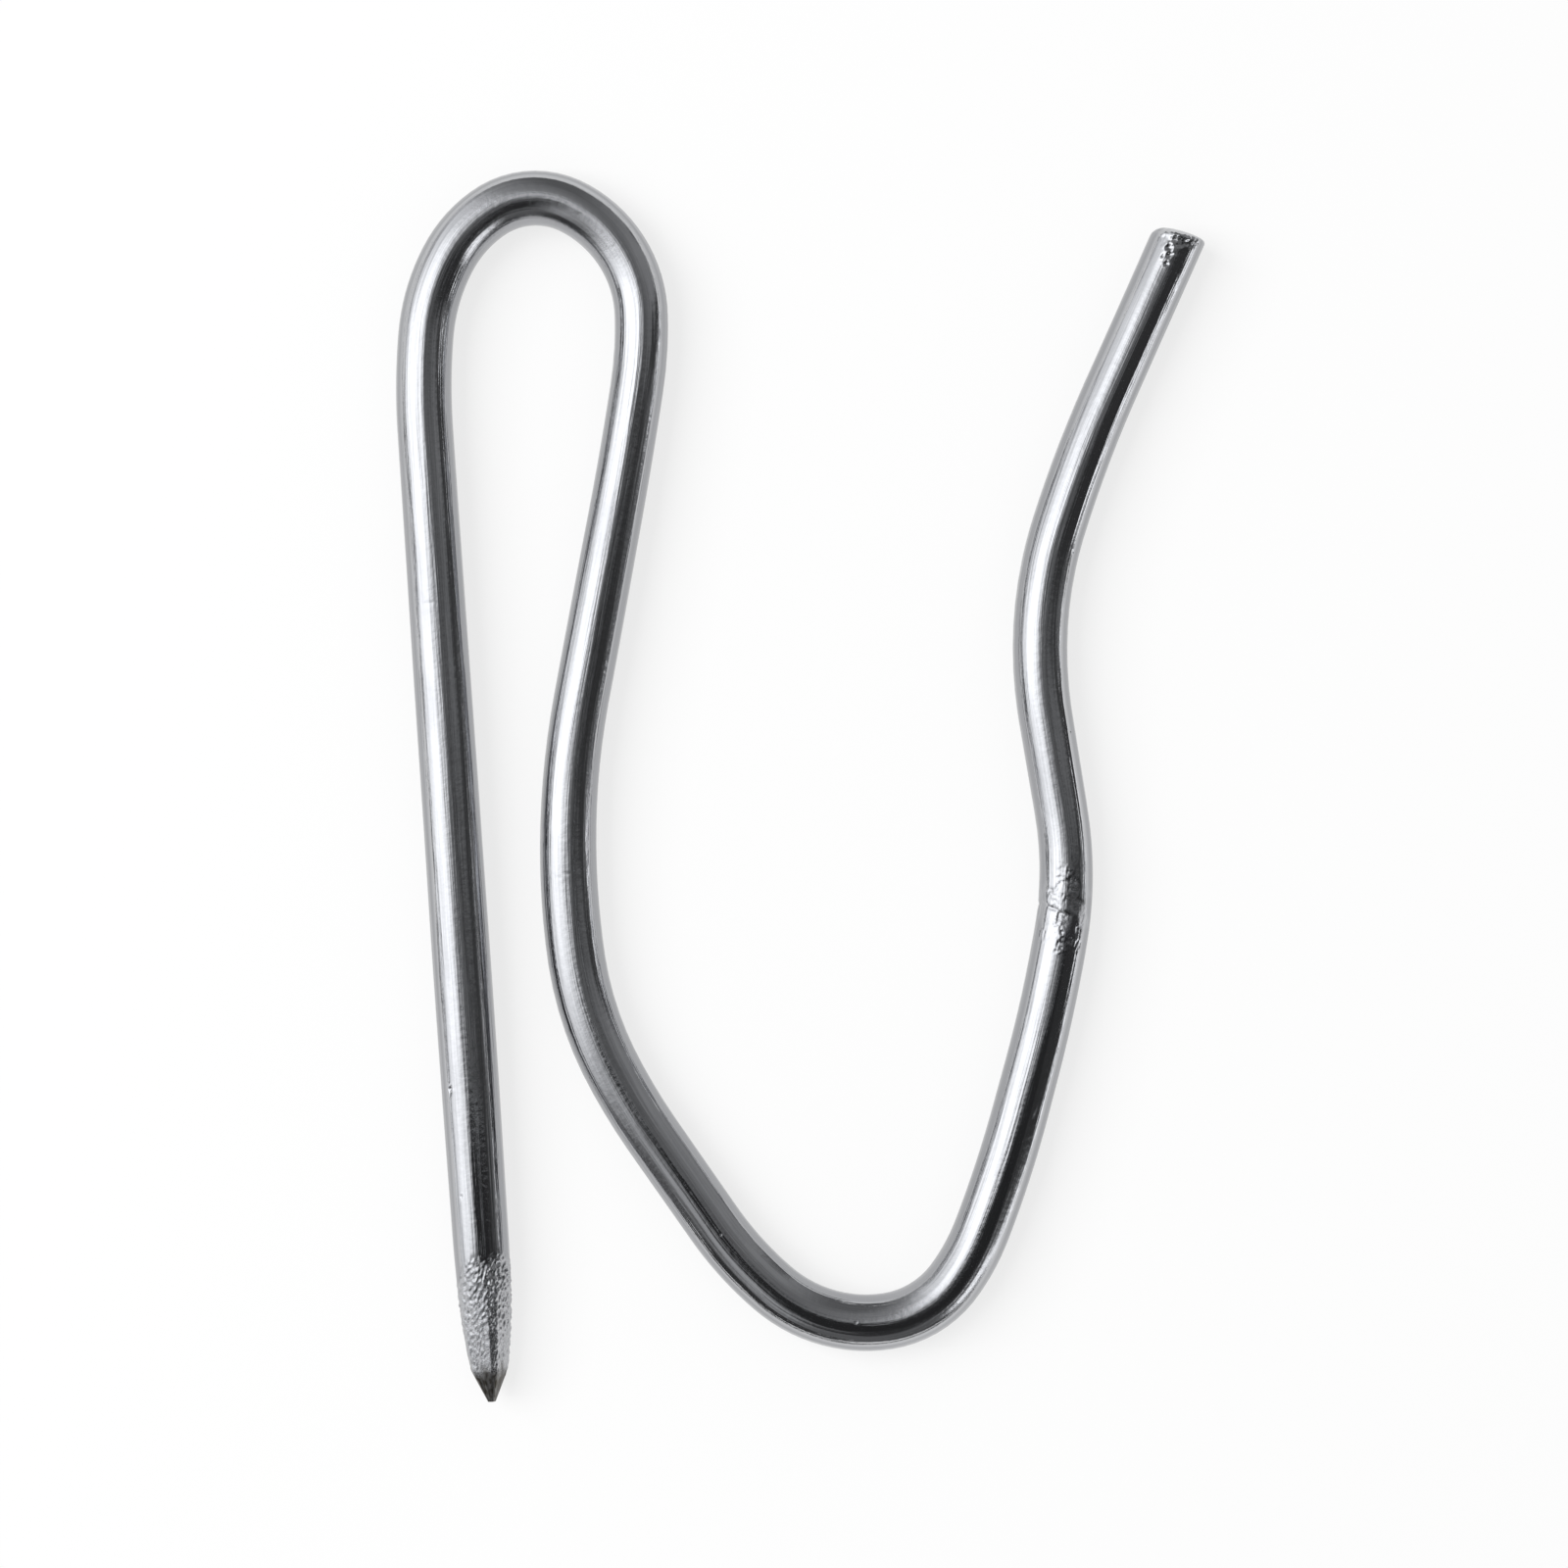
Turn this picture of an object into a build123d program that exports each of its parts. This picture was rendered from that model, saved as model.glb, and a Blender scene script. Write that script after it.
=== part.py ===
from build123d import *
import os
from collections import namedtuple

# A pin-on hook for curtains, bent cold from one length of round plated steel wire.
# It lies on its side: the wire's centre line is in one level plane, half a wire above
# the surface.  +Z is up, +Y runs along the straight pin from its point towards the
# narrow loop, and +X runs from the pin towards the hook's free end.  The origin is on
# the surface, under the middle of the hook's bounding box.
#
# The wire is given as a bender sees it, from the pin's point to the free end: straight
# lengths and bends, each carrying on where the last one stopped, in its direction.

# A bend's radius is to the wire's centre line.  Its turn is in degrees, positive to the
# left of the wire's run and negative to the right.
Bend = namedtuple("Bend", "radius turn")

# The wire
wire_diameter = 1.6

# The straight pin, from the tip of its point to the first bend of the loop
pin_length = 27.85

# The ground point: a slim ogive that leaves the shank smoothly, then a short steep cone
# with a blunt tip
point_length = 4.8
tip_cone_length = 0.9
tip_cone_diameter = 0.95
tip_flat_diameter = 0.2

# The narrow loop at the head, an egg with its tight crown on the pin's side
loop_rise = Bend(18.5, -8.5)
loop_near_shoulder = Bend(5.7, -23.5)
loop_crown_lead = Bend(3.65, -27.5)
loop_crown = Bend(2.35, -61.5)
loop_far_shoulder = Bend(3.6, -61)
loop_return = Bend(11.4, -10.5)

# The middle leg, which comes back from the loop towards the pin, then sweeps away
leg_bow = Bend(111, -2)
leg_length = 5.1
sweep_start = Bend(23, 18.5)
sweep_middle = Bend(10.2, 20)
sweep_end = Bend(17.5, 7)
sweep_length = 3.05

# The wide bend, which hangs on the rail or in a glider's eye
saddle_lead = Bend(10, 14.5)
saddle_near = Bend(4.1, 49)
saddle_far = Bend(2.9, 45.5)
saddle_rise = Bend(6.3, 15)
saddle_run_out = Bend(34, 6)
outer_leg_length = 1.25

# The knee, bent inwards to close the throat
knee_lead = Bend(41, 5.5)
knee = Bend(10.9, 19)
knee_length = 2.7

# The waist, from which the free end flares outwards to the crop
waist = Bend(11.8, -27)
waist_run_out = Bend(37, -6.5)
free_end_length = 4.85

# The free end is cropped by this many degrees out of square, and its rim is broken
crop_skew = 6
crop_round = 0.22

wire_radius = wire_diameter / 2

# The wire runs on by this much past the crop before it is cut
crop_waste = wire_diameter

wire_run = [
    pin_length - point_length,
    loop_rise,
    loop_near_shoulder,
    loop_crown_lead,
    loop_crown,
    loop_far_shoulder,
    loop_return,
    leg_bow,
    leg_length,
    sweep_start,
    sweep_middle,
    sweep_end,
    sweep_length,
    saddle_lead,
    saddle_near,
    saddle_far,
    saddle_rise,
    saddle_run_out,
    outer_leg_length,
    knee_lead,
    knee,
    knee_length,
    waist,
    waist_run_out,
    free_end_length + crop_waste,
]

# The pin's axis, from the tip of its point
pin_axis = Axis((0, 0, wire_radius), (0, 1, 0))

with BuildPart() as bent_wire:
    # The point, turned about the pin's axis
    with BuildSketch(Plane.XY.offset(wire_radius)):
        with BuildLine():
            Polyline(
                (wire_radius, point_length),
                (0, point_length),
                (0, 0),
                (tip_flat_diameter / 2, 0),
                (tip_cone_diameter / 2, tip_cone_length),
            )
            Bezier(
                (tip_cone_diameter / 2, tip_cone_length),
                (wire_radius, (tip_cone_length + point_length) / 2),
                (wire_radius, point_length),
            )
        make_face()
    revolve(axis=pin_axis)

    # The rest of the wire, swept along its centre line
    with BuildLine(Plane.XY.offset(wire_radius)) as centre_line:
        end = Vector(0, point_length)
        heading = Vector(0, 1)
        for stretch in wire_run:
            if isinstance(stretch, Bend):
                laid = JernArc(end, heading, stretch.radius, stretch.turn)
            else:
                laid = Line(end, end + heading * stretch)
            end = laid @ 1
            heading = laid % 1
    with BuildSketch(Plane((0, point_length, wire_radius), z_dir=(0, 1, 0))):
        Circle(wire_radius)
    sweep(path=centre_line.wire())

    # The crop across the free end, where the waste starts
    crop_point = centre_line.wire() @ 1 - heading * crop_waste
    crop_direction = heading.rotate(Axis.Z, crop_skew)
    split(bisect_by=Plane(crop_point, z_dir=crop_direction), keep=Keep.BOTTOM)
    crop_face = faces().sort_by(Axis(crop_point, crop_direction))[-1]
    fillet(crop_face.edges(), crop_round)

# The finished hook, set with the middle of its box over the origin
box = bent_wire.part.bounding_box()
with BuildPart() as hook_wire:
    with Locations((-box.center().X, -box.center().Y, -box.min.Z)):
        add(bent_wire.part)
hook_wire.part.label = "hook_wire"

os.makedirs("parts", exist_ok=True)
export_step(hook_wire.part, "parts/hook_wire.step")
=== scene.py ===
"""Looks of a pin-on curtain hook: one length of plated wire, drawn, pointed, cropped and bent."""

import logging
import math
import random
from dataclasses import dataclass
from enum import Enum

import bmesh
import bpy
from mathutils import Matrix, Vector, noise


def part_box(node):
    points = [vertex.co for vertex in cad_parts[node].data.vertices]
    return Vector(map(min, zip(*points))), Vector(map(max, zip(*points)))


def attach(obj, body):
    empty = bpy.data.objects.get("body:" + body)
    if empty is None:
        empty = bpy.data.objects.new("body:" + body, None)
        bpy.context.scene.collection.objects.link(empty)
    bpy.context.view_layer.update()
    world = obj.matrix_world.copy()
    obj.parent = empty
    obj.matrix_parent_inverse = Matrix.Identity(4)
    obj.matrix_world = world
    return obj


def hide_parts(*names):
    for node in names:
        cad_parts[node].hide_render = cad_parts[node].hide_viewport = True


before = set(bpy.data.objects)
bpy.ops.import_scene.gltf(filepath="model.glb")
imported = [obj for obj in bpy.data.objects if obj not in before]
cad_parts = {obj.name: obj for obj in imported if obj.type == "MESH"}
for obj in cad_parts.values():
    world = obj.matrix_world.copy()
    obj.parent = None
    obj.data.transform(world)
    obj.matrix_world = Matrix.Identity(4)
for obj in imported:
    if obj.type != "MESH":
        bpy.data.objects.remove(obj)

LOG = logging.getLogger("curtain_hook")
MM = 0.001
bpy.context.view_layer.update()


def smooth_step(low: float, high: float, value: float) -> float:
    """Eases from 0 at low to 1 at high.

    Args:
        low: Where the ease starts.
        high: Where it ends; below low, the ease runs downwards.
        value: The place to read.

    Returns:
        A number from 0 to 1.
    """
    share = min(max((value - low) / (high - low), 0.0), 1.0)
    return share * share * (3.0 - 2.0 * share)


def follow(stops: tuple[tuple[float, float], ...], place: float) -> float:
    """Reads a value off a smooth line through a few stops.

    Args:
        stops: Pairs of place and value, in order.
        place: Where to read.

    Returns:
        The value there, held level past both ends.
    """
    if place <= stops[0][0]:
        return stops[0][1]
    for (low, low_value), (high, high_value) in zip(stops, stops[1:]):
        if place <= high:
            return low_value + (high_value - low_value) * smooth_step(low, high, place)
    return stops[-1][1]


def turn_between(first: float, second: float) -> float:
    """Returns the angle from the second to the first in degrees, between -180 and 180."""
    return (first - second + 180.0) % 360.0 - 180.0


# The wire's route


@dataclass(frozen=True)
class Bend:
    """One bend: its radius to the wire's centre line in mm, and its turn in degrees to the left."""

    radius: float
    turn: float

    def length(self) -> float:
        """Returns the centre line's length through the bend, in mm."""
        return self.radius * math.radians(abs(self.turn))


@dataclass(frozen=True)
class BendChart:
    """The route of the wire from the pin's point to the free end, in mm and degrees."""

    pin: float = 27.85
    loop: tuple[Bend, ...] = (
        Bend(18.5, -8.5),
        Bend(5.7, -23.5),
        Bend(3.65, -27.5),
        Bend(2.35, -61.5),
        Bend(3.6, -61.0),
        Bend(11.4, -10.5),
        Bend(111.0, -2.0),
    )
    middle_leg: float = 5.1
    sweep: tuple[Bend, ...] = (Bend(23.0, 18.5), Bend(10.2, 20.0), Bend(17.5, 7.0))
    sweep_run: float = 3.05
    saddle: tuple[Bend, ...] = (
        Bend(10.0, 14.5),
        Bend(4.1, 49.0),
        Bend(2.9, 45.5),
        Bend(6.3, 15.0),
        Bend(34.0, 6.0),
    )
    outer_leg: float = 1.25
    knee: tuple[Bend, ...] = (Bend(41.0, 5.5), Bend(10.9, 19.0))
    knee_run: float = 2.7
    waist: tuple[Bend, ...] = (Bend(11.8, -27.0), Bend(37.0, -6.5))
    free_end: float = 4.85

    def stretches(self) -> tuple[float | Bend, ...]:
        """Returns the straight lengths and bends in the order in which the wire is bent."""
        return (
            self.pin, *self.loop, self.middle_leg, *self.sweep, self.sweep_run, *self.saddle,
            self.outer_leg, *self.knee, self.knee_run, *self.waist, self.free_end,
        )

    def length(self) -> float:
        """Returns the length of the whole wire, in mm."""
        return sum(s.length() if isinstance(s, Bend) else s for s in self.stretches())

    def place(self, run: float) -> Matrix:
        """Finds the wire's section at a run length from the point.

        Args:
            run: Length along the centre line from the tip, in mm.

        Returns:
            The section's place, with its Y along the wire and its Z up, in mm from the tip.
        """
        place = Matrix.Identity(4)
        left = run
        *bent, last = self.stretches()
        for stretch in bent:
            if isinstance(stretch, Bend):
                travel = min(left, stretch.length())
                side = math.copysign(stretch.radius, stretch.turn)
                centre = Matrix.Translation((-side, 0.0, 0.0))
                turn = Matrix.Rotation(travel / side, 4, "Z")
                place = place @ centre @ turn @ centre.inverted()
            else:
                travel = min(left, stretch)
                place = place @ Matrix.Translation((0.0, travel, 0.0))
            left -= travel
            if left <= 0.0:
                return place
        return place @ Matrix.Translation((0.0, left, 0.0))


# Marks that tools left on the wire


class MarkKind(Enum):
    """How a tool's mark is stretched: along the wire, and around it."""

    PIT = (1.0, 1.0)
    NICK = (2.6, 0.8)
    TOOTH = (0.5, 2.4)
    BURR = (1.6, 0.6)


@dataclass(frozen=True)
class Mark:
    """One small mark: its place along and around the wire, and its size, in mm and degrees.

    The rim's place is a share of the size, and its height a share of the depth.
    """

    kind: MarkKind
    run: float
    angle: float
    size: float
    depth: float
    farthest: float = 2.2
    raggedness: float = 0.6
    rim_at: float = 1.15
    rim_height: float = 0.35

    def relief(self, run: float, angle: float, radius: float) -> float:
        """Reads how far the mark lowers or lifts the surface.

        Args:
            run: Length along the wire, in mm.
            angle: Angle around the wire, in degrees.
            radius: The wire's radius, in mm.

        Returns:
            The change of radius in mm, below zero inside the mark.
        """
        stretch_along, stretch_across = self.kind.value
        along = (run - self.run) / self.size * stretch_along
        across = math.radians(turn_between(angle, self.angle)) * radius / self.size * stretch_across
        reach = math.hypot(along, across)
        if reach > self.farthest:
            return 0.0
        ragged = noise.noise(Vector((run * 11.0, angle * 0.16, self.size * 40.0)))
        reach *= 1.0 + self.raggedness * ragged
        hole = -self.depth * math.exp(-2.2 * reach * reach)
        rim = self.rim_height * self.depth * math.exp(-9.0 * (reach - self.rim_at) ** 2)
        return hole + rim


@dataclass(frozen=True)
class Zone:
    """A stretch of the blank that ends at a run length and has rings up to a step apart, in mm."""

    end: float
    step: float


# Finishes


class NodeBench:
    """Lays out and joins shader nodes in one tree."""

    def __init__(self, tree: bpy.types.NodeTree) -> None:
        """Takes the tree of a material, world or group to work on."""
        self.tree = tree

    def add(self, kind: str, **settings: object) -> bpy.types.Node:
        """Adds a node.

        Args:
            kind: The node's type, without its ShaderNode prefix.
            **settings: Properties to set on it.

        Returns:
            The node.
        """
        node = self.tree.nodes.new(kind if kind.startswith("NodeGroup") else "ShaderNode" + kind)
        for name, value in settings.items():
            setattr(node, name, value)
        return node

    def feed(self, target: bpy.types.NodeSocket, value: object) -> None:
        """Links an output to an input, or sets the input where the value is a plain one.

        Args:
            target: The input.
            value: A socket, a number or a colour.
        """
        if isinstance(value, bpy.types.NodeSocket):
            self.tree.links.new(value, target)
        else:
            target.default_value = value

    def math(self, operation: str, *values: object) -> bpy.types.NodeSocket:
        """Adds a Math node.

        Args:
            operation: The node's operation.
            *values: Its inputs in order.

        Returns:
            Its output.
        """
        node = self.add("Math", operation=operation)
        for socket, value in zip(node.inputs, values):
            self.feed(socket, value)
        return node.outputs[0]

    def ease(self, value: object, low: object, high: object, start: object = 0.0,
             end: object = 1.0) -> bpy.types.NodeSocket:
        """Adds a smooth Map Range.

        Args:
            value: What is read.
            low: The value that gives start.
            high: The value that gives end.
            start: The output at low.
            end: The output at high.

        Returns:
            The eased output.
        """
        node = self.add("MapRange", interpolation_type="SMOOTHSTEP")
        for name, item in zip(("Value", "From Min", "From Max", "To Min", "To Max"),
                              (value, low, high, start, end)):
            self.feed(node.inputs[name], item)
        return node.outputs[0]

    def blend(self, share: object, first: object, second: object) -> bpy.types.NodeSocket:
        """Mixes two colours.

        Args:
            share: How much of the second is used.
            first: A colour or a socket.
            second: A colour or a socket.

        Returns:
            The mixed colour.
        """
        node = self.add("Mix", data_type="RGBA")
        self.feed(node.inputs["Factor"], share)
        for socket, value in zip([s for s in node.inputs if s.type == "RGBA"], (first, second)):
            self.feed(socket, value)
        return next(s for s in node.outputs if s.type == "RGBA")

    def noise(self, vector: object, scale: float, detail: float = 2.0) -> bpy.types.NodeSocket:
        """Adds a Noise texture.

        Args:
            vector: Where it is read.
            scale: How fine it is.
            detail: How many finer layers it has.

        Returns:
            Its value.
        """
        node = self.add("TexNoise")
        self.feed(node.inputs["Vector"], vector)
        node.inputs["Scale"].default_value = scale
        node.inputs["Detail"].default_value = detail
        return node.outputs[0]

    def stretch(self, vector: object, scale: tuple[float, float, float]) -> bpy.types.NodeSocket:
        """Scales a vector.

        Args:
            vector: The vector.
            scale: Its scale on each axis.

        Returns:
            The scaled vector.
        """
        node = self.add("Mapping")
        self.feed(node.inputs["Vector"], vector)
        node.inputs["Scale"].default_value = scale
        return node.outputs[0]

    def read(self, name: str, output: str) -> bpy.types.NodeSocket:
        """Reads a mesh attribute.

        Args:
            name: The attribute.
            output: Vector or Fac.

        Returns:
            The attribute's value.
        """
        return self.add("Attribute", attribute_name=name).outputs[output]

    def place(self, group: bpy.types.NodeTree, **values: object) -> bpy.types.Node:
        """Places a node group.

        Args:
            group: The group.
            **values: What its inputs are fed.

        Returns:
            The group's node.
        """
        node = self.add("Group", node_tree=group)
        for name, value in values.items():
            self.feed(node.inputs[name], value)
        return node


def open_group(name: str, inputs: dict[str, str],
               outputs: tuple[str, ...]) -> tuple[NodeBench, bpy.types.Node, bpy.types.Node]:
    """Starts a shader node group.

    Args:
        name: The group's name.
        inputs: Names of the inputs and their type, Float or Vector.
        outputs: Names of the outputs, all of them values.

    Returns:
        The group's bench, its input node and its output node.
    """
    tree = bpy.data.node_groups.new(name, "ShaderNodeTree")
    for socket, kind in inputs.items():
        tree.interface.new_socket(socket, in_out="INPUT", socket_type="NodeSocket" + kind)
    for socket in outputs:
        tree.interface.new_socket(socket, in_out="OUTPUT", socket_type="NodeSocketFloat")
    bench = NodeBench(tree)
    return bench, bench.add("NodeGroupInput"), bench.add("NodeGroupOutput")


def draw_lines_group() -> bpy.types.NodeTree:
    """Builds the lines that a drawing die leaves along a wire.

    Returns:
        A group whose Height is a low relief and whose Streak runs from 0 to 1.
    """
    bench, given, out = open_group(
        "draw_lines", {"Blank": "Vector", "Wander": "Float"}, ("Height", "Streak"))
    sway = bench.noise(bench.stretch(given.outputs["Blank"], (0.6, 0.35, 0.6)), 1.0, 1.0)
    lean = bench.add("VectorMath", operation="SCALE")
    bench.feed(lean.inputs[0], given.outputs["Blank"])
    bench.feed(lean.inputs["Scale"],
               bench.math("ADD", 1.0, bench.math("MULTIPLY", sway, given.outputs["Wander"])))
    lines = lean.outputs[0]
    fine = bench.noise(bench.stretch(lines, (16.0, 0.30, 16.0)), 1.0, 2.0)
    broad = bench.noise(bench.stretch(lines, (5.0, 0.10, 5.0)), 1.0, 1.0)
    height = bench.math("ADD", bench.math("MULTIPLY", fine, 0.3), bench.math("MULTIPLY", broad, 0.7))
    bench.feed(out.inputs["Height"], height)
    bench.feed(out.inputs["Streak"], bench.ease(fine, 0.42, 0.68))
    return bench.tree


def grain_group() -> bpy.types.NodeTree:
    """Builds the close grain of metal that was ground, peened or sheared.

    Returns:
        A group whose Height is a granular relief and whose Mottle runs from 0 to 1.
    """
    bench, given, out = open_group("grain", {"Blank": "Vector", "Size": "Float"}, ("Height", "Mottle"))
    scaled = bench.add("VectorMath", operation="SCALE")
    bench.feed(scaled.inputs[0], given.outputs["Blank"])
    bench.feed(scaled.inputs["Scale"], bench.math("DIVIDE", 1.0, given.outputs["Size"]))
    grains = bench.add("TexVoronoi", feature="SMOOTH_F1")
    bench.feed(grains.inputs["Vector"], scaled.outputs[0])
    dust = bench.noise(scaled.outputs[0], 2.4, 2.0)
    bench.feed(out.inputs["Height"], bench.math("SUBTRACT", dust, grains.outputs["Distance"]))
    bench.feed(out.inputs["Mottle"], bench.ease(bench.noise(scaled.outputs[0], 0.45, 3.0), 0.35, 0.68))
    return bench.tree


@dataclass(frozen=True)
class PlatedFinish:
    """Bright plating on drawn steel: its colours, and how rough it is where it is whole or worn.

    The shade band is the height above or below the wire's middle, in mm, where the painted shade on
    its sides begins and where it is full: the sides are painted darker, standing in for the darker
    reflection they show from straight above. The dull colour serves both the drawn streaks and that
    shade.
    """

    plate: tuple[float, float, float, float] = (0.53, 0.535, 0.55, 1.0)
    # The dull colour, used both for the drawn streaks and for the painted shade on the wire's sides.
    dull_and_shade: tuple[float, float, float, float] = (0.265, 0.27, 0.284, 1.0)
    steel: tuple[float, float, float, float] = (0.075, 0.068, 0.056, 1.0)
    whole_roughness: float = 0.085
    worn_roughness: float = 0.11
    bare_roughness: float = 0.36
    # The painted shade on the wire's sides: its band, its strength, and the strength kept where worn.
    painted_shade_band: tuple[float, float] = (0.60, 0.42)
    side_painted_shade: float = 0.7
    worn_painted_shade: float = 0.2
    streak_film: float = 0.2
    streak_roughness: float = 0.14
    line_height: float = 0.025
    peel_height: float = 0.004
    grain_size: float = 0.09
    grain_height: float = 0.006

    def make(self, lines: bpy.types.NodeTree, grain: bpy.types.NodeTree) -> bpy.types.Material:
        """Builds the material.

        Args:
            lines: The draw_lines group.
            grain: The grain group.

        Returns:
            The material.
        """
        material = bpy.data.materials.new("plated_wire")
        material.use_nodes = True
        bench = NodeBench(material.node_tree)
        shader = material.node_tree.nodes["Principled BSDF"]
        shader.inputs["Metallic"].default_value = 1.0
        blank = bench.read("blank", "Vector")
        worn = bench.read("worn", "Fac")
        bare = bench.read("bare", "Fac")
        drawn = bench.place(lines, Blank=blank, Wander=0.05)
        rough = bench.place(grain, Blank=blank, Size=self.grain_size)
        blotch = bench.ease(bench.noise(bench.stretch(blank, (1.1, 0.5, 1.1)), 1.0, 4.0), 0.45, 0.75)

        # Painted shade: the wire's sides near its middle height are painted darker, standing in for the
        # darker reflection they show from straight above; less of it is kept where the wire is worn. The
        # drawn streaks and blotches take the same dull colour at random.
        spot = bench.add("SeparateXYZ")
        bench.feed(spot.inputs[0], blank)
        side_shade_share = bench.ease(worn, 0.0, 1.0, self.side_painted_shade, self.worn_painted_shade)
        painted_side_shade = bench.ease(bench.math("ABSOLUTE", spot.outputs["Z"]), *self.painted_shade_band, 0.0, side_shade_share)
        streaks = bench.math("ADD", blotch, drawn.outputs["Streak"])
        streaked = bench.math("MULTIPLY", streaks, self.streak_film)
        dull_and_shade_share = bench.math("MAXIMUM", streaked, painted_side_shade)
        plated = bench.blend(dull_and_shade_share, self.plate, self.dull_and_shade)
        stained = bench.math("MULTIPLY", bare, bench.ease(rough.outputs["Mottle"], 0.0, 1.0, 0.75, 1.0))
        bench.feed(shader.inputs["Base Color"], bench.blend(stained, plated, self.steel))

        roughness = bench.ease(worn, 0.0, 1.0, self.whole_roughness, self.worn_roughness)
        dulled = bench.math("MULTIPLY", streaked, self.streak_roughness)
        roughness = bench.math("ADD", roughness, dulled)
        bench.feed(shader.inputs["Roughness"], bench.ease(bare, 0.0, 1.0, roughness, self.bare_roughness))

        peel = bench.math("MULTIPLY", bench.noise(blank, 6.0, 3.0), self.peel_height)
        whole = bench.math("SUBTRACT", 1.0, worn)
        line_relief = bench.math("MULTIPLY", bench.math("MULTIPLY", drawn.outputs["Height"], whole),
                                 self.line_height)
        grain_relief = bench.math("MULTIPLY", bench.math("MULTIPLY", rough.outputs["Height"], worn),
                                  self.grain_height)
        bump = bench.add("Bump")
        bump.inputs["Distance"].default_value = MM
        fine_relief = bench.math("ADD", grain_relief, peel)
        bench.feed(bump.inputs["Height"], bench.math("ADD", line_relief, fine_relief))
        bench.feed(shader.inputs["Normal"], bump.outputs["Normal"])
        return material


@dataclass(frozen=True)
class CroppedFinish:
    """Bare steel where a shear cut the wire through."""

    steel: tuple[float, float, float, float] = (0.30, 0.29, 0.28, 1.0)
    stain: tuple[float, float, float, float] = (0.12, 0.11, 0.10, 1.0)
    roughness: float = 0.38
    dragged_roughness: float = 0.50
    grain_size: float = 0.11
    grain_height: float = 0.02

    def make(self, lines: bpy.types.NodeTree, grain: bpy.types.NodeTree) -> bpy.types.Material:
        """Builds the material.

        Args:
            lines: The draw_lines group, here the shear's drag lines.
            grain: The grain group.

        Returns:
            The material.
        """
        material = bpy.data.materials.new("cropped_steel")
        material.use_nodes = True
        bench = NodeBench(material.node_tree)
        shader = material.node_tree.nodes["Principled BSDF"]
        shader.inputs["Metallic"].default_value = 1.0
        blank = bench.read("blank", "Vector")
        torn = bench.place(grain, Blank=blank, Size=self.grain_size)
        dragged = bench.place(lines, Blank=bench.stretch(blank, (1.0, 1.0, 0.02)), Wander=0.1)
        bench.feed(shader.inputs["Base Color"],
                   bench.blend(torn.outputs["Mottle"], self.steel, self.stain))
        bench.feed(shader.inputs["Roughness"], bench.ease(
            dragged.outputs["Streak"], 0.0, 1.0, self.roughness, self.dragged_roughness))
        bump = bench.add("Bump")
        bump.inputs["Distance"].default_value = MM
        relief = bench.math("ADD", torn.outputs["Height"], dragged.outputs["Height"])
        bench.feed(bump.inputs["Height"], bench.math("MULTIPLY", relief, self.grain_height))
        bench.feed(shader.inputs["Normal"], bump.outputs["Normal"])
        return material


# The hook


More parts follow.
